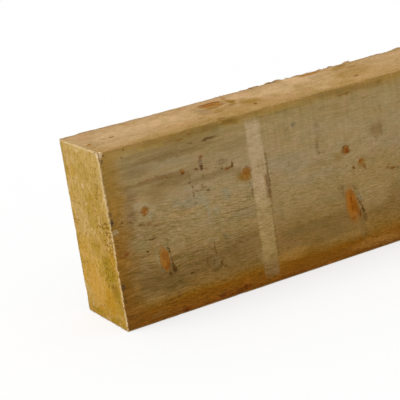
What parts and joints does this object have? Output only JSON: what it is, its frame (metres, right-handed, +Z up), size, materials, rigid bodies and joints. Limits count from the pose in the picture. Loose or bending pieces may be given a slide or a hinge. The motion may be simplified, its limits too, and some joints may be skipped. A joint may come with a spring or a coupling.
{
  "type": "treated timber batten",
  "caption": "Rough-sawn, pressure-treated softwood batten of rectangular section with square crosscut ends, for framing, joists, studs and bearers.",
  "frame": {"origin": "middle of the narrow edge that the batten stands on, half way along its length", "axes": "+X along the length, away from the end shown; +Y through the 50 mm thickness, from the front broad face to the back one; +Z up the 100 mm width, from the edge it stands on to the top edge"},
  "size_m": [1.8, 0.05, 0.1],
  "materials": {
    "treated_softwood": "matte"
  },
  "bodies": {
    "root": {"batten": "treated_softwood"}
  },
  "joints": []
}
